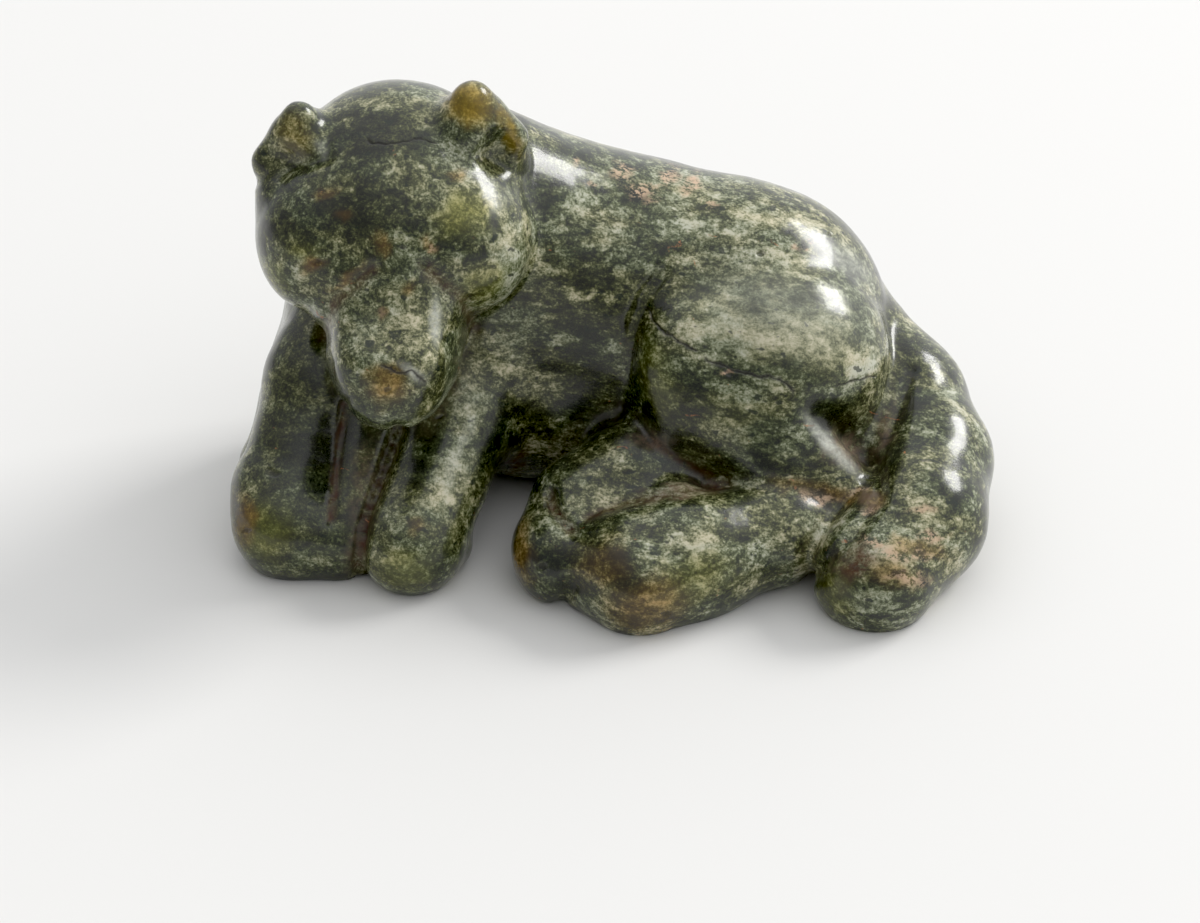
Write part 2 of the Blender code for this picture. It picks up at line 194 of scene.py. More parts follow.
def stone(p):
    """Signed distance (about) to the skin of the carving, before the base cut."""
    # trunk
    d = ball(p, (16.3, 3, 15.8), (16.2, 15.0, 17.0))
    d = blend(d, ball(p, (2, 3.5, 17.8), (18, 13.2, 16.8)), 8)
    d = blend(d, ball(p, (-17, 3, 20), (13.0, 12.5, 18)), 8)
    d = blend(d, taper(p, (0, 5, 23.5), (-15, 2, 32.5), 11.5, 11.5), 6)
    d = blend(d, ball(p, (17, 9, 13), (13, 10, 12)), 4)
    d = blend(d, ball(p, (-4, 1.5, 9.2), (20, 11.5, 10)), 4)
    # fore legs, upper parts
    d = blend(d, limb(p, ((-26.0, 1, 21, 7.5), (-30.2, -6, 15, 5.8), (-32.2, -11, 10, 5.6)), 4), 4)
    d = blend(d, limb(p, ((-14.5, 2, 18, 8), (-15.6, -9, 13, 5.8), (-17.4, -15, 9, 5.4)), 4), 4)
    d = blend(d, head(p), 1.2)
    # paws
    paw = blend(limb(p, ((-32.2, -11, 10, 5.6), (-33.6, -17.8, 4.4, PAW)), 3),
                taper(p, (-33, -17.0, 4.0), (-28.5, -18.4, 3.6), PAW - 0.3, PAW - 0.7), 2)
    paw = blend(paw, ball(p, (-36.0, -14.5, 6.5), (4.0, 4.5, 4.5)), 2)
    d = blend(d, paw, 1.5)
    paw = blend(limb(p, ((-17.4, -15, 9, 5.4), (-20.2, -21.4, 4.4, PAW - 0.4)), 3),
                ball(p, (-16.2, -19.6, 2.6), (2.4, 2.6, 2.6)), 1)
    d = blend(d, paw, 1.5)
    # stone left between the fore legs, and the left elbow
    d = blend(d, taper(p, (-24, -5, 14), (-26.6, -16.0, 4.6), 6.0, 6.4), 1.2)
    d = blend(d, limb(p, ((-27, 4, 20, 8), (-30.5, 1.5, 9, 6.8), (-36.4, -5.2, 3.2, 4.2)), 4), 2.5)
    # haunch, shank and knee
    haunch = ball(p, (17.5, -4.5, 17), (14.2, 13.0, 12.5), ry=-8)
    haunch = blend(haunch, limb(p, ((12, -9, 13.5, 9.0), (20, -14.0, 10.2, 6.6), (24.8, -16.4, 8.6, 4.0), (28.4, -17.4, 6.8, 2.8)), 2), 3)
    haunch = blend(haunch, ball(p, (10.0, -9.0, 18.5), (7.0, 6.5, 8.6), ry=-10), 3)
    d = blend(d, haunch, 0.9)
    d = blend(d, taper(p, (25.6, -8.0, 10.4), (29.0, -12.0, 5.6), 5.6, 5.0), 3.0)
    d = blend(d, taper(p, (20.4, -15.7, 17.0), (27.7, -17.3, 9.6), 2.2, 2.0), 1.6)     # ridge of the shank
    # near hind foot, spreading from the heel to two broad toes
    foot = limb(p, ((28, -17.6, 5.4, 3.4), (19, -20.2, 5.0, 5.4), (10, -23.8, 4.4, 6.5), (4.2, -26.8, 3.9, TOE)), 3)
    foot = blend(foot, taper(p, (6, -21.5, 4.2), (-3.8, -23.2, 3.7), 6.2, 5.5), 3.5)
    d = blend(d, foot, 1.0)
    d = blend(d, limb(p, ((14, -11, 7.5, 5.5), (3, -14.8, 8.2, 5.2), (-2.4, -17.8, 6.9, 4.4), (-4.3, -21.2, 4.2, 4.6)), 3), 2.0)
    # tail curling forward to the heel
    tail = limb(p, ((27, 5, 15.5, 6.6), (33.6, -3, 10.2, 6.8), (35.6, -11, 7.7, 6.9), (34.2, -19.3, 6.0, 6.9), (29.2, -26.0, 3.7, TAIL_TIP)), 3)
    d = blend(d, tail, 1.2)
    d = blend(d, taper(p, (19, -16, 3), (26, -18, 3), 4.6, 4.6), 1.2)
    # ears
    d = blend(d, ear(p, (-12.9, -3.6, 41.6), (-13.3, -4.8, 45.4, 4.1), (-13.1, -5.4, 48.9, 1.6),
                     (-9.2, -5.2, 44.4), 1.3, (-10.3, -9.4, 43.9), (2.3, 3.3, 3.5), 18), 1.3)
    d = blend(d, ear(p, (-30.4, -3.6, 40.6), (-30.8, -4.8, 43.8, 3.6), (-31.1, -5.6, 47.1, 1.25),
                     (-34.9, -5.6, 42.0), 1.0, (-32.4, -10.3, 42.4), (2.6, 3.4, 3.8), -30), 1.3)
    d = blend(d, ball(p, (-33.6, -5.0, 38.6), (2.6, 4.0, 4.0)), 1.5)
    q = mark_plane(p)
    # shallow valley behind the ridge of the shank
    valley = np.exp(-(path_distance(q, SHANK_VALLEY) / VALLEY_WIDTH) ** 2)
    d = d + VALLEY_DEPTH * valley / (1.0 + np.exp(np.clip((p[:, 1] + 4) * 1.5, -30, 30)))
    for _name, path, depth, half, near in GROOVES:
        fade = 1.0 / (1.0 + np.exp(np.clip((p[:, 1] - near) * 1.5, -30, 30)))
        d = d + LINE_DEPTH * depth * np.exp(-(path_distance(q, path) / (LINE_WIDTH * half)) ** 2) * fade
    return d


def measure(p, chunk=8000):
    """Signed distances of many points, worked out in chunks side by side."""
    if len(p) < 2:
        return stone(p)
    with ThreadPoolExecutor(4) as pool:
        return np.concatenate(list(pool.map(stone, np.array_split(p, max(len(p) // chunk, 1)))))


def slope(p, e=0.05):
    """Value and gradient of the shape at points."""
    v = measure(p)
    g = np.empty_like(p)
    for i in range(3):
        o = np.zeros(3)
        o[i] = e
        g[:, i] = (measure(p + o) - v) / e
    return v, g


def settle(p, edges, rounds, relax):
    """Draw points onto the shape and even them out along it."""
    count = np.bincount(edges.ravel(), minlength=len(p)).astype(float)[:, None]
    count = np.maximum(count, 1.0)
    for i in range(rounds):
        last = i == rounds - 1
        if last:
            v = measure(p)           # the slope hardly changes on the last small step
        else:
            v, g = slope(p)
        gg = (g * g).sum(1, keepdims=True) + 1e-6
        step = -v[:, None] * g / np.maximum(gg, 0.15)
        size = np.linalg.norm(step, axis=1, keepdims=True)
        step *= np.minimum(1.0, 0.6 / np.maximum(size, 1e-9))
        p = p + step
        if relax and i < rounds - 2:
            mean = np.zeros_like(p)
            for k in range(3):
                mean[:, k] = (np.bincount(edges[:, 0], p[edges[:, 1], k], len(p))
                              + np.bincount(edges[:, 1], p[edges[:, 0], k], len(p)))
            move = mean / count - p
            n = g / np.sqrt(gg)
            move -= (move * n).sum(1, keepdims=True) * n
            p = p + relax * move
    return p

def hash_noise(p, scale, octaves=3, seed=0.0):
    """Smooth fractal noise, about -1 to 1, at points in millimetres."""
    out = np.empty(len(p))
    q = p * scale + seed
    for i, c in enumerate(q):
        out[i] = noise.fractal(Vector(c), 0.9, 2.0, octaves, noise_basis="PERLIN_ORIGINAL")
    return out


# ------------------------------------------------------------------ mesh
def masses_mesh():
    FORMS.clear()
    stone(np.zeros((1, 3)))
    bm = bmesh.new()
    for form in list(FORMS):
        if form[0] == "ball":
            _kind, at, size, m = form
            place = (Matrix.Translation(Vector(at)) @ Matrix([list(r) for r in m]).to_4x4()
                     @ Matrix.Diagonal((size[0], size[1], size[2], 1.0)))
            bmesh.ops.create_uvsphere(bm, u_segments=28, v_segments=18, radius=1.0, matrix=place)
            continue
        _kind, a, b, ra, rb = form
        a, b = Vector(a), Vector(b)
        run = b - a
        spin = run.to_track_quat("Z", "Y").to_matrix().to_4x4()
        bmesh.ops.create_cone(bm, cap_ends=True, segments=24, radius1=ra, radius2=rb, depth=run.length,
                              matrix=Matrix.Translation((a + b) / 2) @ spin)
        for end, r in ((a, ra), (b, rb)):
            bmesh.ops.create_uvsphere(bm, u_segments=24, v_segments=14, radius=r, matrix=Matrix.Translation(end))
    mesh = bpy.data.meshes.new("masses")
    bm.to_mesh(mesh)
    bm.free()
    return mesh


def reskin(obj, voxel):
    mod = obj.modifiers.new("skin", "REMESH")
    mod.mode = "VOXEL"
    mod.voxel_size = voxel
    mod.adaptivity = 0.0
    deps = bpy.context.evaluated_depsgraph_get()
    mesh = bpy.data.meshes.new_from_object(obj.evaluated_get(deps))
    obj.modifiers.remove(mod)
    old = obj.data
    obj.data = mesh
    bpy.data.meshes.remove(old)


def points(mesh):
    p = np.empty(len(mesh.vertices) * 3)
    mesh.vertices.foreach_get("co", p)
    return p.reshape(-1, 3)


def draw_in(obj, rounds, relax):
    mesh = obj.data
    e = np.empty(len(mesh.edges) * 2, dtype=np.int32)
    mesh.edges.foreach_get("vertices", e)
    p = settle(points(mesh), e.reshape(-1, 2), rounds, relax)
    mesh.vertices.foreach_set("co", p.ravel())
    mesh.update()


piece = bpy.data.objects.new("bear_stone", masses_mesh())
bpy.context.scene.collection.objects.link(piece)
reskin(piece, COARSE_VOXEL)
draw_in(piece, 7, 0.35)
reskin(piece, FINE_VOXEL)
draw_in(piece, 3, 0.25)

# ------------------------------------------------------------------ marks
# Hair cracks and small chips, in lengths across and up; (path, depth, half width, only nearer than this Y)
CRACKS = (
    (((5.2, 17.8), (5.9, 16.5), (7.1, 15.1), (9.0, 13.8), (11.0, 12.8)), 0.16, 0.13, 2),
    (((12.2, 11.8), (14.7, 10.7), (17.3, 9.9), (19.4, 9.8), (21.5, 8.9), (22.3, 8.1)), 0.14, 0.12, 2),
    (((27.0, 8.6), (29.4, 9.3), (31.6, 9.8)), 0.08, 0.10, 2),
    (((-26.7, 36.8), (-24.6, 36.4), (-22.8, 36.6), (-20.6, 37.2), (-18.9, 36.6)), 0.10, 0.10, 8),
    (((-24.9, 11.0), (-23.2, 10.2), (-21.7, 10.4), (-20.1, 9.2)), 0.10, 0.12, -8),
)
CHIPS = (                                                  # (across, up), radius, depth
    ((18.4, 23.9), 0.45, 0.30), ((14.8, 10.2), 0.40, 0.18), ((-18.5, 5.1), 0.35, 0.18), ((26.4, 26.0), 0.30, 0.12),
    ((-32.4, 22.9), 0.5, 0.12), ((-24.4, 8.2), 0.4, 0.10), ((7.5, -17.5), 0.5, 0.2), ((-37.6, -1.2), 0.6, 0.15),
    ((30.6, -2.6), 0.6, 0.15), ((-40.6, -8.0), 0.5, 0.15), ((-22.6, 24.6), 0.35, 0.12), ((-6.6, -12.0), 0.5, 0.2),
)


def wander(q):
    """Small sideways drift that keeps cracks from running dead straight."""
    j = np.stack([noise_at(q, 0.9, 5.0), noise_at(q, 0.9, 41.0)], 1)
    return q + 0.30 * j + 0.10 * np.stack([noise_at(q, 3.1, 9.0), noise_at(q, 3.1, 23.0)], 1)


def noise_at(q, scale, seed):
    return np.array([noise.noise(Vector((u * scale, v * scale, seed))) for u, v in q])


HAUNCH_EDGE = ((11.5, 24.4), (8.8, 23.2), (7.0, 21.4), (5.2, 19.1), (3.9, 15.7))


def spot(q, at, size, angle=0.0, soft=0.35):
    """Soft oval on the marking plane."""
    a = math.radians(angle)
    d = q - np.array(at)
    u = (d[:, 0] * math.cos(a) + d[:, 1] * math.sin(a)) / size[0]
    v = (-d[:, 0] * math.sin(a) + d[:, 1] * math.cos(a)) / size[1]
    r = np.sqrt(u * u + v * v)
    t = np.clip((1.0 - r) / soft, 0, 1)
    return t * t * (3 - 2 * t)


def marks_reach(p):
    """Distance on the marking plane to the nearest crack or chip."""
    q = mark_plane(p)
    d = np.full(len(p), 9.0)
    for path, _depth, half, near in CRACKS:
        d = np.minimum(d, path_distance(q, path) + 9.0 * (p[:, 1] > near))
    for at, r, _depth in CHIPS:
        d = np.minimum(d, np.linalg.norm(q - np.array(at), axis=1) - r)
    return d


# flat underside
bm = bmesh.new()
bm.from_mesh(piece.data)
cut = bmesh.ops.bisect_plane(bm, geom=bm.verts[:] + bm.edges[:] + bm.faces[:], dist=1e-5,
                             plane_co=(0, 0, 0), plane_no=(0, 0, -1), clear_outer=True)
rim = [g for g in cut["geom_cut"] if isinstance(g, bmesh.types.BMEdge)]
caps = bmesh.ops.holes_fill(bm, edges=rim, sides=0)["faces"]
bmesh.ops.triangulate(bm, faces=caps)
# closer mesh along cracks and chips
for reach in (((0.62, 0.42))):
    bm.verts.ensure_lookup_table()
    at = np.array([v.co[:] for v in bm.verts])
    close = marks_reach(at) < reach
    close &= (at[:, 2] > 0.5)
    edges = [e for e in bm.edges if close[e.verts[0].index] and close[e.verts[1].index]]
    bmesh.ops.subdivide_edges(bm, edges=edges, cuts=1, use_grid_fill=True)
    bm.verts.index_update()
bmesh.ops.triangulate(bm, faces=[f for f in bm.faces if len(f.verts) > 4])
bm.to_mesh(piece.data)
bm.free()

# hand-worked surface: slow hollows and flats left by the rasp
mesh = piece.data
p = points(mesh)
value, grad = slope(p)
normal = grad / np.linalg.norm(grad, axis=1, keepdims=True)
above = np.clip(p[:, 2] / 1.5, 0, 1)
q = mark_plane(p)
facing = np.clip((-(normal @ MARK_IN) + 0.15) / 0.4, 0, 1)
work = 0.10 * hash_noise(p, 0.14, 2, 3.1) + 0.035 * hash_noise(p, 0.55, 2, 17.0)
work += 0.022 * hash_noise(p, 1.6, 2, 29.0)
work = np.minimum(work, 0.02)


# how enclosed each point is: 0 on open surface, 1 deep in a fold
def enclosed(h):
    return np.clip(1.0 - measure(p + normal * h) / h, 0, 1)


fold_fine, fold_wide = enclosed(0.8), enclosed(2.6)
crack = np.zeros(len(p))
sunk = np.zeros(len(p))
near_mark = np.nonzero((marks_reach(p) < 1.2) & (facing > 0.1))[0]
drift = wander(q[near_mark])
for path, depth, half, near in CRACKS:
    d = path_distance(drift, path)
    line = np.exp(-(d / half) ** 2) * (p[near_mark, 1] < near)
    crack[near_mark] = np.maximum(crack[near_mark], np.exp(-(d / (1.5 * half)) ** 2) * (p[near_mark, 1] < near))
    sunk[near_mark] = np.maximum(sunk[near_mark], depth * line)
chip = np.zeros(len(p))
for at, r, depth in CHIPS:
    d = np.linalg.norm((drift - np.array(at)) * np.array([0.8, 1.25]), axis=1) / r
    dip = np.clip(1.15 - d * d, 0, 1)
    chip[near_mark] = np.maximum(chip[near_mark], dip)
    sunk[near_mark] = np.maximum(sunk[near_mark], depth * dip)
haunch_edge = np.exp(-(path_distance(q, HAUNCH_EDGE) / 0.85) ** 2) * (p[:, 1] < 7) * (facing > 0)
sunk = np.maximum(sunk, 0.30 * haunch_edge)
work = work * (1.0 - 0.85 * spot(q, (27.0, 21.0), (10.0, 7.5), -40, 0.6)) * (1.0 - 0.6 * spot(q, (41.0, 6.0), (3.5, 8.0), 0, 0.6))
p = p + normal * ((work - sunk) * above)[:, None]
mesh.vertices.foreach_set("co", p.ravel())
mesh.update()


front = facing * (p[:, 1] < 9)
ragged = q + 0.9 * np.stack([hash_noise(p, 0.45, 3, 51.0), hash_noise(p, 0.45, 3, 77.0)], 1)


def patches(*items):
    """Ragged ovals: (across, up), (half lengths), tilt, strength."""
    out = np.zeros(len(p))
    for at, size, angle, strength in items:
        out = np.maximum(out, strength * spot(ragged, at, size, angle, 0.8))
    return out


def paint(name, values):
    layer = mesh.attributes.new(name, "FLOAT", "POINT")
    layer.data.foreach_set("value", np.clip(values, 0, 1).astype(np.float32))


def lines(*names):
    out = np.zeros(len(p))
    for name, path, depth, half, near in GROOVES:
        if name in names:
            out = np.maximum(out, np.exp(-(path_distance(ragged * 0.35 + q * 0.65, path) / (0.62 * half)) ** 2) * (p[:, 1] < near + 1))
    return out


rust = np.maximum(1.0 * lines("far_toe"), 0.85 * lines("web_left", "web_right"))
rust = np.maximum(rust, 0.45 * lines("between_feet", "muzzle_left", "muzzle_right", "under_knee"))
rust = np.maximum(rust, front * patches(((29.5, -12.0), (1.6, 4.0), -40, 0.8), ((-9.4, -0.6), (1.2, 3.0), -30, 0.6), ((-31.0, 17.6), (0.7, 3.0), -28, 0.6), ((-33.0, 23.0), (1.8, 1.0), 0, 0.35)))
paint("rust", rust)
dirt = np.clip(1.1 * fold_wide - 0.25, 0, 1) * np.clip((30 - p[:, 2]) / 10, 0.15, 1) * 0.34
dirt = np.maximum(dirt, front * patches(((9.0, -3.2), (5.5, 1.3), 12, 0.85), ((28.2, 1.2), (3.6, 3.0), -35, 0.8), ((32.6, 3.6), (1.5, 5.0), -18, 0.7),
                                        ((31.0, -4.6), (1.6, 2.4), 20, 0.8), ((28.6, -11.0), (2.0, 4.5), -35, 0.6), ((5.5, 2.4), (4.0, 1.6), 0, 0.7),
                                        ((-27.0, -3.0), (2.6, 8.5), -8, 0.45), ((-28.2, -10.0), (2.0, 4.0), 0, 0.5)))
paint("dirt", dirt)
paint("fold", np.clip(fold_wide * 1.0 + fold_fine * 0.8, 0, 1))
paint("crack", np.maximum(crack, 0.85 * chip * 0.8))
paint("amber", (np.maximum(spot(ragged, (-14.9, 41.4), (4.0, 3.6), -20, 0.8), 0.9 * spot(ragged, (-10.4, 38.0), (1.3, 4.2), 22, 0.8)) * np.clip((p[:, 2] - 40.6) / 1.6, 0, 1) * np.clip((1.5 - p[:, 1]) / 3.0, 0, 1) * (p[:, 0] > -19)
                + 0.28 * spot(q, (-35.0, 37.5), (3.0, 4.4), 25, 0.8) * (p[:, 2] > 40) * (p[:, 0] < -26)))
paint("olive", front * patches(((-15.8, 28.2), (4.6, 3.9), 30, 1.0), ((-34.2, 24.0), (3.0, 1.6), 0, 0.6), ((-37.6, 21.0), (2.4, 4.0), 20, 0.7),
                               ((-13.5, 20.5), (4.0, 3.0), 25, 0.6), ((-38.5, -8.0), (4.5, 5.0), 0, 0.8), ((-22.5, -12.5), (5.0, 3.5), 0, 0.7),
                               ((27.0, -15.5), (4.0, 4.5), 0, 0.6), ((11.0, -13.5), (7.0, 4.0), 20, 0.5), ((6.5, 9.5), (3.0, 8.0), 15, 0.5)))
paint("salmon", patches(((2.6, 33.4), (2.0, 1.1), -20, 0.9), ((8.0, 32.6), (1.3, 2.2), -50, 1.0), ((10.3, 32.0), (1.0, 2.2), -40, 1.0), ((4.6, 31.2), (2.6, 0.9), -10, 0.9),
                        ((12.5, 29.8), (0.7, 0.6), -30, 1.0), ((-1.2, 31.8), (1.1, 0.45), 0, 0.9), ((-2.4, 34.1), (0.7, 0.5), 0, 0.8), ((6.2, 30.0), (1.2, 0.5), 0, 0.6),
                        ((-19.4, 24.4), (1.0, 0.8), 0, 1.0), ((-25.1, 16.8), (0.6, 0.8), 0, 0.9), ((23.0, 24.0), (1.0, 0.35), -5, 0.9), ((23.8, 26.0), (0.8, 0.35), -35, 0.9),
                        ((35.0, -10.6), (4.4, 1.0), -8, 1.0), ((31.5, -9.2), (2.4, 0.8), -8, 1.0), ((38.0, -8.6), (3.0, 0.9), -5, 0.9), ((35.0, -13.2), (3.2, 0.9), -5, 0.9), ((30.6, -5.6), (2.0, 0.9), 15, 0.9), ((25.5, -4.2), (3.5, 0.8), -8, 0.8), ((37.0, -5.6), (2.6, 0.8), -8, 0.8),
                        ((30.0, -3.4), (1.3, 0.6), 0, 0.8), ((14.6, 10.3), (0.7, 0.3), -10, 1.0)))
paint("golden", front * patches(((5.5, -16.5), (7.0, 4.5), 10, 0.85), ((-41.0, -6.5), (1.8, 4.5), 5, 1.0), ((-9.0, -10.5), (2.2, 6.0), 0, 0.9), ((0.5, -12.0), (5.0, 4.0), 0, 0.6),
                                ((-24.5, 8.8), (3.6, 3.2), 0, 1.0), ((-29.0, 21.4), (3.4, 0.8), 38, 0.9), ((-33.0, 23.0), (2.2, 1.3), 10, 1.0), ((-25.0, 25.0), (1.2, 2.4), 0, 0.8), ((-19.5, 24.5), (1.6, 1.2), 0, 0.9), ((-22.0, 20.0), (1.0, 1.4), 0, 0.6), ((-25.0, 16.8), (1.2, 1.2), 0, 0.8), ((-16.5, 33.0), (1.4, 0.8), 0, 0.7), ((-29.0, 28.0), (1.2, 0.9), 0, 0.6), ((-31.6, 30.6), (2.2, 0.9), 20, 0.7),
                                ((23.0, -3.0), (5.5, 1.6), -8, 0.6), ((33.5, -12.5), (4.5, 2.5), -10, 0.8), ((27.5, -3.8), (5.0, 1.4), -10, 0.9), ((36.5, -10.0), (5.0, 1.4), -8, 0.8), ((31.5, -4.5), (2.2, 1.6), 20, 0.8), ((-21.0, -7.5), (1.8, 1.2), 0, 0.6)))
# fine even mottling on the head and the fore legs
paint("mottle", np.clip((p[:, 2] - 22) / 6, 0, 1) * np.clip((-7 - p[:, 0]) / 4, 0, 1) + 0.6 * np.clip((-10 - p[:, 0]) / 5, 0, 1) * np.clip(front, 0, 1))
# painted reflection haze: paler, flatter stone over the haunch where the window's reflection lies
paint("reflection_haze", front * np.maximum(spot(ragged, (21.0, 15.5), (16.0, 9.5), -12, 0.7), 0.8 * spot(ragged, (16.0, 5.0), (8.0, 5.0), -10, 0.8)))
# painted highlights: pale stripes and patches where the window's highlights and reflection haze fall, on the shank
# ridge, muzzle, nose, right fore leg, haunch, tail, right cheek and left ear
paint("painted_highlight", front * np.maximum.reduce([
    1.0 * spot(q * 0.6 + ragged * 0.4, (26.6, 1.7), (6.8, 1.2), -50, 0.9), 1.0 * spot(q * 0.6 + ragged * 0.4, (-18.9, 16.2), (1.0, 4.2), 0, 0.9),
    0.85 * spot(q * 0.6 + ragged * 0.4, (-21.6, 10.3), (2.6, 1.0), -32, 0.9), 0.35 * spot(ragged, (-16.0, 1.2), (8.0, 1.2), 72, 0.9),
    0.70 * spot(q * 0.6 + ragged * 0.4, (27.8, 23.4), (7.5, 2.0), -40, 0.9), 0.30 * spot(q, (22.0, 17.0), (15.0, 7.0), -15, 0.9), 0.35 * spot(ragged, (41.0, 5.0), (1.2, 4.5), 8, 0.9),
    0.30 * spot(ragged, (-11.8, 29.6), (2.0, 3.4), -10, 0.9), 0.35 * spot(ragged, (-31.6, 36.0), (1.2, 1.8), 25, 0.9)]))
# broad light and dark parts of the block, 0.5 is even; among them the pale stripe down the right fore leg is a painted
# highlight and the lift over the haunch is painted reflection haze
tone = np.full(len(p), 0.5)
for at, size, angle, strength in (
        ((16.0, 27.5), (19.0, 7.0), -20, 0.16), ((20.0, 15.5), (14.0, 7.0), -10, 0.12), ((13.0, 14.5), (9.5, 3.6), -8, 0.20), ((29.5, 11.2), (4.2, 3.0), -10, 0.34), ((20.5, 13.4), (10.0, 3.0), -10, 0.20), ((21.5, 18.8), (8.5, 2.6), -10, -0.12), ((23.8, 21.2), (4.0, 0.8), -22, 0.30), ((10.0, 17.8), (4.0, 0.9), -6, 0.26), ((18.5, 6.0), (6.5, 4.0), -8, -0.10), ((26.0, 5.2), (4.5, 2.6), -6, -0.20), ((-1.0, 29.5), (8.0, 5.5), -10, 0.16),
        ((11.0, -8.0), (9.0, 4.0), 12, 0.18), ((35.0, -10.0), (6.5, 4.5), -10, 0.22), ((-2.5, -1.8), (5.0, 2.2), 10, 0.16), ((22.0, -2.0), (7.0, 2.2), -6, 0.16),
        ((-22.5, 15.5), (5.5, 4.5), 0, 0.06), ((-10.5, 23.0), (3.5, 7.5), -15, 0.16), ((-14.0, 31.5), (6.0, 3.5), -10, 0.05), ((-15.8, 2.5), (2.4, 8.0), -20, 0.22), ((-17.5, -3.5), (3.5, 3.5), 0, 0.18),
        ((-27.0, 29.0), (9.5, 5.5), 0, -0.26), ((-24.0, 37.5), (9.5, 4.5), 0, -0.25), ((-36.0, 27.0), (4.5, 5.0), 0, -0.12), ((-34.5, 3.0), (8.0, 15.0), 6, -0.16), ((-29.0, 0.0), (5.0, 12.0), 0, -0.10), ((-2.5, 12.0), (8.0, 11.0), 10, -0.26), ((-4.5, 14.2), (3.6, 1.5), -8, 0.42), ((0.8, 12.6), (2.6, 1.1), -8, 0.36), ((-1.5, 19.5), (4.2, 1.3), -8, 0.30), ((-6.0, 9.8), (2.4, 1.2), 0, 0.30), ((8.5, 4.0), (6.0, 6.0), 0, -0.20),
        ((-20.5, -1.0), (2.6, 8.0), -25, -0.20), ((-11.5, 4.0), (3.0, 8.0), -20, -0.20), ((35.5, 4.0), (3.0, 8.0), -12, -0.14), ((29.5, 5.5), (3.5, 2.5), 0, -0.16), ((4.6, 9.0), (2.6, 9.0), 8, -0.16)):
    tone += strength * spot(ragged, at, size, angle, 0.9)
paint("tone", 0.5 + (tone - 0.5) * np.clip(front * 1.2 + 0.25, 0, 1))

# ------------------------------------------------------------------ stone
mat = bpy.data.materials.new("polished_soapstone")
mat.use_nodes = True
nt = mat.node_tree
nt.nodes.clear()


def node(kind, **values):
    n = nt.nodes.new(kind)
    for k, v in values.items():
        if hasattr(n, k) and k not in n.inputs:
            setattr(n, k, v)
        else:
            n.inputs[k].default_value = v
    return n


def link(a, b):
    nt.links.new(a, b)


def maths(op, a, b=0.0, clamp=False):
    n = nt.nodes.new("ShaderNodeMath")
    n.operation = op
    n.use_clamp = clamp
    for i, v in enumerate((a, b)):
        if isinstance(v, (int, float)):
            n.inputs[i].default_value = v
        else:
            link(v, n.inputs[i])
    return n.outputs[0]


def ramp(value, *stops):
    n = nt.nodes.new("ShaderNodeValToRGB")
    els = n.color_ramp.elements
    while len(els) < len(stops):
        els.new(0.5)
    for e, (pos, col) in zip(els, stops):
        e.position = pos
        e.color = (*col, 1.0) if len(col) == 3 else col
    link(value, n.inputs[0])
    return n.outputs[0]


def step(value, lo, hi):
    n = nt.nodes.new("ShaderNodeMapRange")
    n.interpolation_type = "SMOOTHSTEP"
    n.inputs["From Min"].default_value = lo
    n.inputs["From Max"].default_value = hi
    link(value, n.inputs["Value"])
    return n.outputs["Result"]


def mix(factor, a, b):
    n = nt.nodes.new("ShaderNodeMix")
    n.data_type = "RGBA"
    n.clamp_factor = True
    link(factor, n.inputs[0])
    for i, v in ((6, a), (7, b)):
        if isinstance(v, tuple):
            n.inputs[i].default_value = (*v, 1.0)
        else:
            link(v, n.inputs[i])
    return n.outputs[2]


def grain(scale, detail=4.0, rough=0.6, distort=0.0, where=None, lac=2.0):
    n = nt.nodes.new("ShaderNodeTexNoise")
    n.inputs["Scale"].default_value = scale
    n.inputs["Detail"].default_value = detail
    n.inputs["Roughness"].default_value = rough
    n.inputs["Lacunarity"].default_value = lac
    n.inputs["Distortion"].default_value = distort
    link(where, n.inputs["Vector"])
    return n.outputs["Fac"]


def painted(name):
    n = nt.nodes.new("ShaderNodeAttribute")
    n.attribute_name = name
    return n.outputs["Fac"]


coords = nt.nodes.new("ShaderNodeTexCoord")


def laid(turn_y, stretch, turn_z=0.0, shift=(0, 0, 0)):
    """Coordinates in millimetres, drawn out along the bedding of the stone."""
    n = nt.nodes.new("ShaderNodeMapping")
    n.vector_type = "TEXTURE"
    n.inputs["Location"].default_value = tuple(v * MM for v in shift)
    n.inputs["Rotation"].default_value = (0, math.radians(turn_y), math.radians(turn_z))
    n.inputs["Scale"].default_value = tuple(MM * v for v in stretch)
    link(coords.outputs["Object"], n.inputs["Vector"])
    return n.outputs["Vector"]


bed = laid(9, (1.7, 1.3, 1.0))
plain = laid(0, (1, 1, 1))
streak = laid(7, (4.2, 1.6, 1.0), 8)

cloud = grain(0.10, 3, 0.55, 0.4, bed)
patch = grain(0.36, 8, 0.70, 0.35, bed)
fleck = grain(1.30, 8, 0.76, 0.25, bed)
speck = grain(3.4, 5, 0.7, 0.2, plain)
band = grain(0.50, 6, 0.70, 0.5, streak)


def around(value, weight):
    return maths("MULTIPLY", maths("SUBTRACT", value, 0.5), weight)


curd = grain(0.75, 9, 0.76, 0.5, laid(0, (1.1, 1.0, 1.0), 0, (2, 8, 5)))
v = maths("ADD", around(patch, 1.25), around(fleck, 1.30))
v = maths("ADD", v, around(band, 0.34))
round_v = maths("ADD", around(curd, 1.55), around(patch, 0.40))
share = painted("mottle")
v = maths("ADD", maths("MULTIPLY", v, maths("SUBTRACT", 1.0, share)), maths("MULTIPLY", round_v, share))
v = maths("ADD", v, around(speck, 0.80))
v = maths("ADD", v, around(cloud, 0.50))
# broad lighter and darker parts, with the painted highlight on the right fore leg and painted haze over the haunch
v = maths("ADD", v, around(painted("tone"), 0.75))
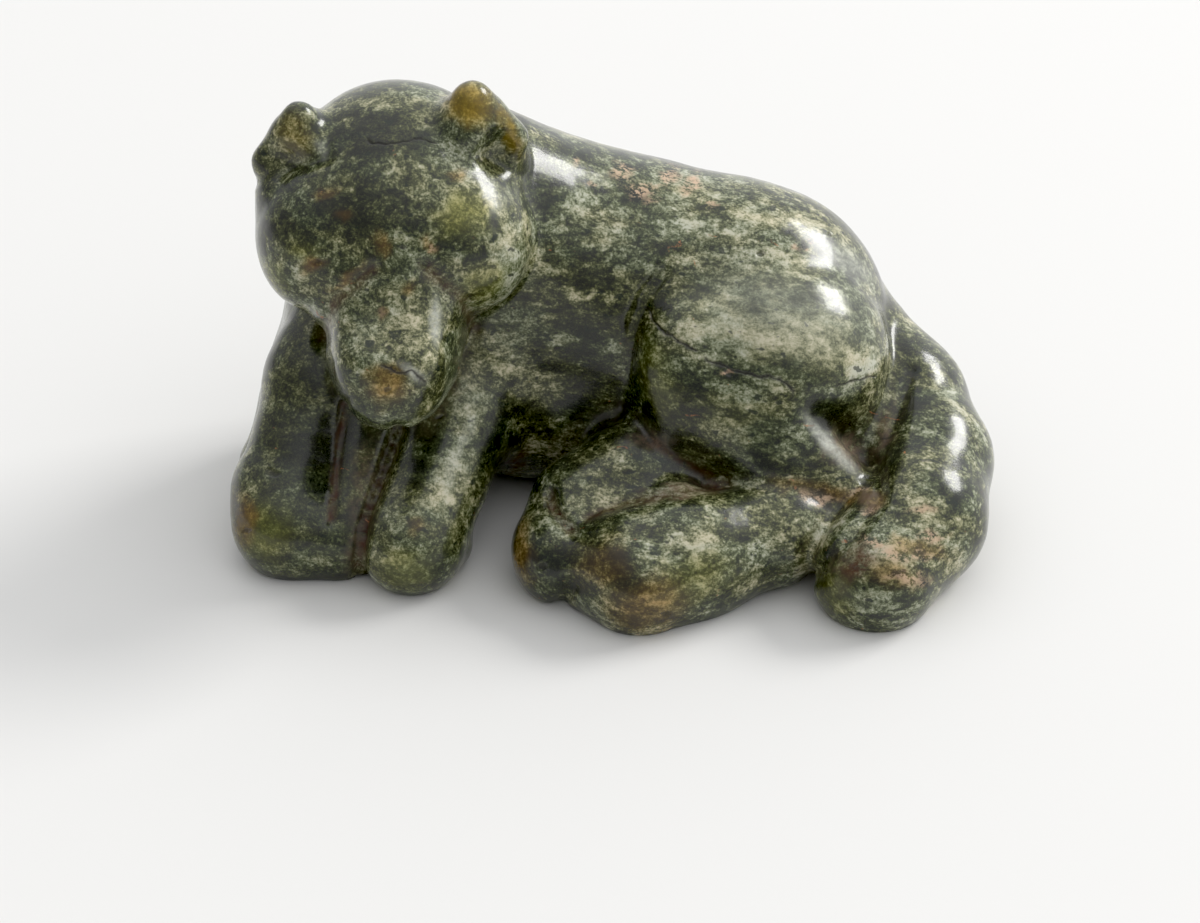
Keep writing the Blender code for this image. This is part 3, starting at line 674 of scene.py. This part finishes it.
# painted reflection haze: over the haunch the pattern is pulled towards one pale, even value
reflection_haze = maths("MULTIPLY", painted("reflection_haze"), 0.38)
v = maths("ADD", maths("MULTIPLY", v, maths("SUBTRACT", 1.0, reflection_haze)), maths("MULTIPLY", reflection_haze, 0.115))
v = maths("ADD", v, 0.490)

# dark green through olive to pale grey-green and cream
colour = ramp(v, (0.26, (0.015, 0.016, 0.010)), (0.38, (0.030, 0.033, 0.016)), (0.48, (0.054, 0.059, 0.023)), (0.55, (0.102, 0.109, 0.044)),
              (0.62, (0.205, 0.206, 0.105)), (0.70, (0.340, 0.325, 0.195)), (0.82, (0.540, 0.495, 0.345)))
# warm and cool drift of the green
drift_mask = step(grain(0.22, 4, 0.6, 0.3, laid(9, (2.0, 1.3, 1.0), 0, (13, 7, 3))), 0.40, 0.62)
cool = nt.nodes.new("ShaderNodeMix")
cool.data_type = "RGBA"
cool.blend_type = "MULTIPLY"
link(maths("MULTIPLY", drift_mask, 0.65), cool.inputs[0])
link(colour, cool.inputs[6])
cool.inputs[7].default_value = (0.80, 0.94, 1.15, 1)
colour = cool.outputs[2]
# dark grains with soft oval outlines, and thin light threads
ovals = step(grain(0.85, 2, 0.5, 0.1, laid(9, (1.5, 1.1, 0.9), 0, (4, 2, 9))), 0.655, 0.70)
colour = mix(maths("MULTIPLY", ovals, 0.80), colour, (0.012, 0.018, 0.012))
threads = maths("MULTIPLY", step(grain(0.75, 6, 0.72, 1.2, laid(7, (3.4, 1.2, 0.55), 0, (1, 5, 2))), 0.60, 0.68), step(v, 0.36, 0.58))
colour = mix(maths("MULTIPLY", threads, 0.30), colour, (0.330, 0.335, 0.200))
# painted tints
fine = step(maths("ADD", maths("MULTIPLY", fleck, 0.6), maths("MULTIPLY", patch, 0.4)), 0.36, 0.60)


def tinted(colour, amount, tone, weight=1.0, ragged=0.55):
    """Lay a tint over the pattern, thinner where the pattern is dark."""
    a = maths("MULTIPLY", amount, maths("ADD", maths("MULTIPLY", fine, ragged), 1.0 - ragged))
    return mix(maths("MULTIPLY", a, weight), colour, tone)




def stained(colour, amount, tone, weight=1.0):
    """Multiply the pattern by a tint, so that it stays readable."""
    n = nt.nodes.new("ShaderNodeMix")
    n.data_type = "RGBA"
    n.blend_type = "MULTIPLY"
    link(maths("MULTIPLY", amount, weight), n.inputs[0])
    link(colour, n.inputs[6])
    n.inputs[7].default_value = (*tone, 1.0)
    return n.outputs[2]


colour = stained(colour, painted("olive"), (0.98, 0.98, 0.46), 0.9)
colour = tinted(colour, painted("olive"), (0.145, 0.145, 0.030), 0.50, 0.45)
colour = stained(colour, painted("golden"), (1.22, 0.86, 0.42), 0.95)
colour = tinted(colour, painted("golden"), (0.160, 0.088, 0.028), 0.55, 0.60)
colour = stained(colour, painted("amber"), (1.5, 1.1, 0.30), 0.9)
colour = tinted(colour, painted("amber"), (0.250, 0.165, 0.018), 0.78, 0.50)
colour = mix(maths("MULTIPLY", painted("salmon"), step(maths("ADD", maths("MULTIPLY", fleck, 0.7), maths("MULTIPLY", speck, 0.3)), 0.46, 0.52)), colour, (0.510, 0.355, 0.235))
grit = step(grain(1.1, 6, 0.74, 0.4, plain), 0.40, 0.58)
colour = mix(maths("MULTIPLY", painted("dirt"), maths("ADD", maths("MULTIPLY", grit, 0.62), 0.22)), colour, (0.165, 0.112, 0.075))
# painted highlights: pale grey-green laid where the window's highlights fall
colour = mix(maths("MULTIPLY", painted("painted_highlight"), maths("ADD", maths("MULTIPLY", fine, 0.55), 0.35)), colour, (0.560, 0.570, 0.500))
rust_mask = maths("MULTIPLY", painted("rust"), step(grain(0.9, 5, 0.65, 0.3, plain), 0.30, 0.52))
colour = mix(maths("MULTIPLY", rust_mask, 0.88), colour, (0.080, 0.023, 0.011))
ember = maths("MULTIPLY", step(grain(0.62, 3, 0.6, 0.8, laid(9, (1.9, 1.2, 0.9), 0, (6, 6, 1))), 0.70, 0.745), step(speck, 0.42, 0.55))
colour = mix(maths("MULTIPLY", ember, 0.8), colour, (0.360, 0.140, 0.055))
crack_mask = painted("crack")
colour = mix(maths("MULTIPLY", crack_mask, 0.92), colour, (0.010, 0.008, 0.006))

shader = nt.nodes.new("ShaderNodeBsdfPrincipled")
link(colour, shader.inputs["Base Color"])
wear = grain(0.35, 4, 0.65, 0.0, plain)
rough = maths("ADD", maths("MULTIPLY", wear, 0.18), maths("MULTIPLY", maths("ADD", rust_mask, maths("MULTIPLY", painted("dirt"), 1.3)), 0.60))
rough = maths("ADD", rough, maths("MULTIPLY", crack_mask, 0.4))
rough = maths("ADD", rough, 0.11, True)
link(rough, shader.inputs["Roughness"])
shader.inputs["IOR"].default_value = 1.45
shader.inputs["Coat Weight"].default_value = 0.28
shader.inputs["Coat Roughness"].default_value = 0.06

# fine scratches and pores
scratch = grain(0.9, 4, 0.7, 0.0, laid(35, (9.0, 0.35, 0.35), 20))
scratch2 = grain(0.9, 4, 0.7, 0.0, laid(-28, (8.0, 0.3, 0.3), -35))
relief = maths("ADD", maths("MULTIPLY", scratch, 0.5), maths("MULTIPLY", scratch2, 0.4))
relief = maths("ADD", relief, maths("MULTIPLY", grain(3.0, 4, 0.65, 0.0, plain), 0.45))
relief = maths("ADD", relief, maths("MULTIPLY", fleck, 0.6))
bump = nt.nodes.new("ShaderNodeBump")
bump.inputs["Strength"].default_value = 0.34
bump.inputs["Distance"].default_value = 0.00007
link(relief, bump.inputs["Height"])
link(bump.outputs["Normal"], shader.inputs["Normal"])
out = nt.nodes.new("ShaderNodeOutputMaterial")
link(shader.outputs["BSDF"], out.inputs["Surface"])

mesh.materials.clear()
mesh.materials.append(mat)
mesh.shade_smooth()

# ------------------------------------------------------------------ place
low, high = p.min(0), p.max(0)
cad_low, cad_high = np.array(CAD_BOX[0]), np.array(CAD_BOX[1])
mid = (low + high) / 2
cad_mid = (cad_low + cad_high) / 2 / MM
shift = np.array([mid[0] - cad_mid[0], mid[1] - cad_mid[1], 0.0])
p = (p - shift) * MM
p = np.clip(p, cad_low + 1e-6, cad_high - 1e-6) if (np.abs(p.max(0) - cad_high).max() < 0.0008) else p
mesh.vertices.foreach_set("co", p.ravel())
mesh.update()
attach(piece, "root")
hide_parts("bear_carving")


def here(x, y, z):
    """A place given in millimetres in the carving's own lengths."""
    return Vector(((x - shift[0]) * MM, (y - shift[1]) * MM, z * MM))


# ------------------------------------------------------------------ studio
floor_mesh = bpy.data.meshes.new("floor")
bm = bmesh.new()
bmesh.ops.create_grid(bm, x_segments=1, y_segments=1, size=1.6)
bm.to_mesh(floor_mesh)
bm.free()
floor = bpy.data.objects.new("floor", floor_mesh)
bpy.context.scene.collection.objects.link(floor)
floor_mat = bpy.data.materials.new("pale_table")
floor_mat.use_nodes = True
fs = floor_mat.node_tree.nodes["Principled BSDF"]
fs.inputs["Base Color"].default_value = (0.742, 0.735, 0.722, 1)
fs.inputs["Roughness"].default_value = 0.72
fs.inputs["Specular IOR Level"].default_value = 0.05
floor_mesh.materials.append(floor_mat)
view = bpy.context.scene.view_settings
view.view_transform = "Standard"
view.use_curve_mapping = True
view.curve_mapping.black_level = (BLACK_POINT, BLACK_POINT, BLACK_POINT)
view.curve_mapping.update()


def area(name, azimuth, elevation, distance, size, watts, colour=(1, 1, 1), size_y=None, target=(0, -8, 18)):
    """Soft box; azimuth is measured from behind the carving towards its rump."""
    lamp = bpy.data.lights.new(name, "AREA")
    lamp.shape = "RECTANGLE"
    lamp.size = size
    lamp.size_y = size_y or size
    lamp.energy = watts
    lamp.color = colour
    obj = bpy.data.objects.new(name, lamp)
    a, e = math.radians(azimuth), math.radians(elevation)
    aim = here(*target)
    away = Vector((math.sin(a) * math.cos(e), math.cos(a) * math.cos(e), math.sin(e)))
    obj.location = aim + away * distance
    obj.rotation_euler = (-away).to_track_quat("-Z", "Y").to_euler()
    bpy.context.scene.collection.objects.link(obj)
    return obj


area("window", 61, 36, 2.20, 0.92, WINDOW_WATTS, (1.0, 0.99, 0.975), 0.66)

# room light: dim towards the front, bright behind and above
world = bpy.data.worlds.new("studio")
world.use_nodes = True
wt = world.node_tree
sky = wt.nodes["Background"]
sky.inputs[0].default_value = (0.98, 0.99, 1.0, 1)
toward = wt.nodes.new("ShaderNodeTexCoord")
facing_window = wt.nodes.new("ShaderNodeVectorMath")
facing_window.operation = "DOT_PRODUCT"
wa, we = math.radians(48), math.radians(50)
facing_window.inputs[1].default_value = (math.sin(wa) * math.cos(we), math.cos(wa) * math.cos(we), math.sin(we))
wt.links.new(toward.outputs["Generated"], facing_window.inputs[0])
spread = wt.nodes.new("ShaderNodeMapRange")
spread.interpolation_type = "SMOOTHSTEP"
spread.inputs["From Min"].default_value = -0.35
spread.inputs["From Max"].default_value = 0.95
spread.inputs["To Min"].default_value = ROOM_DIM
spread.inputs["To Max"].default_value = ROOM_BRIGHT
wt.links.new(facing_window.outputs["Value"], spread.inputs["Value"])
wt.links.new(spread.outputs["Result"], sky.inputs[1])
bpy.context.scene.world = world

cam_data = bpy.data.cameras.new("camera")
cam_data.sensor_width = 36.0
cam_data.lens = 36.0 * 2690.0 / 1200.0
cam_data.clip_start = 0.01
camera = bpy.data.objects.new("camera", cam_data)
camera.location = here(*MARK_EYE)
camera.rotation_euler = Vector(MARK_IN).to_track_quat("-Z", "Y").to_euler()
bpy.context.scene.collection.objects.link(camera)
bpy.context.scene.camera = camera
